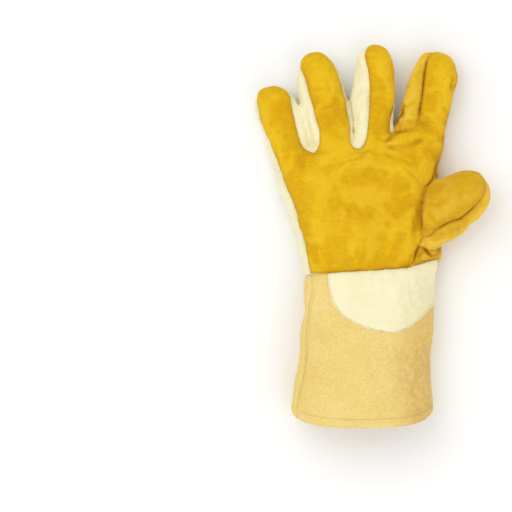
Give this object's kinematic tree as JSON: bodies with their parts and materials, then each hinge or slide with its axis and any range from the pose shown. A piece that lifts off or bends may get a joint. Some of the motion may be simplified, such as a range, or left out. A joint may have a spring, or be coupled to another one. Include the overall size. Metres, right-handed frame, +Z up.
{
  "type": "foundry glove",
  "caption": "Heat-resistant gauntlet glove for the right hand: split leather palm, thumb and index finger, ribbed cream cloth back, and a long open cuff with a half-moon wrist patch.",
  "frame": {"origin": "middle of the glove's extent in plan, on the surface that it lies on", "axes": "+Y to the fingertips, +X to the thumb side, +Z up out of the palm; the glove lies on its back"},
  "size_m": [0.2164, 0.3544, 0.0602],
  "materials": {
    "split_leather": "matt golden suede",
    "cream_cloth": "ribbed cream cloth",
    "cuff_cloth": "speckled tan cloth"
  },
  "bodies": {
    "root": {"palm_panel": "split_leather", "thumb_front": "split_leather", "thumb_back": "split_leather", "index_side_panel": "split_leather", "index_back_panel": "split_leather", "saddle_panel": "split_leather", "fourchette_middle_index": "cream_cloth", "fourchette_ring_middle": "cream_cloth", "fourchette_little_ring": "cream_cloth", "back_panel": "cream_cloth", "wrist_patch": "cream_cloth", "cuff": "cuff_cloth", "cuff_side_seam": "cuff_cloth"}
  },
  "joints": []
}
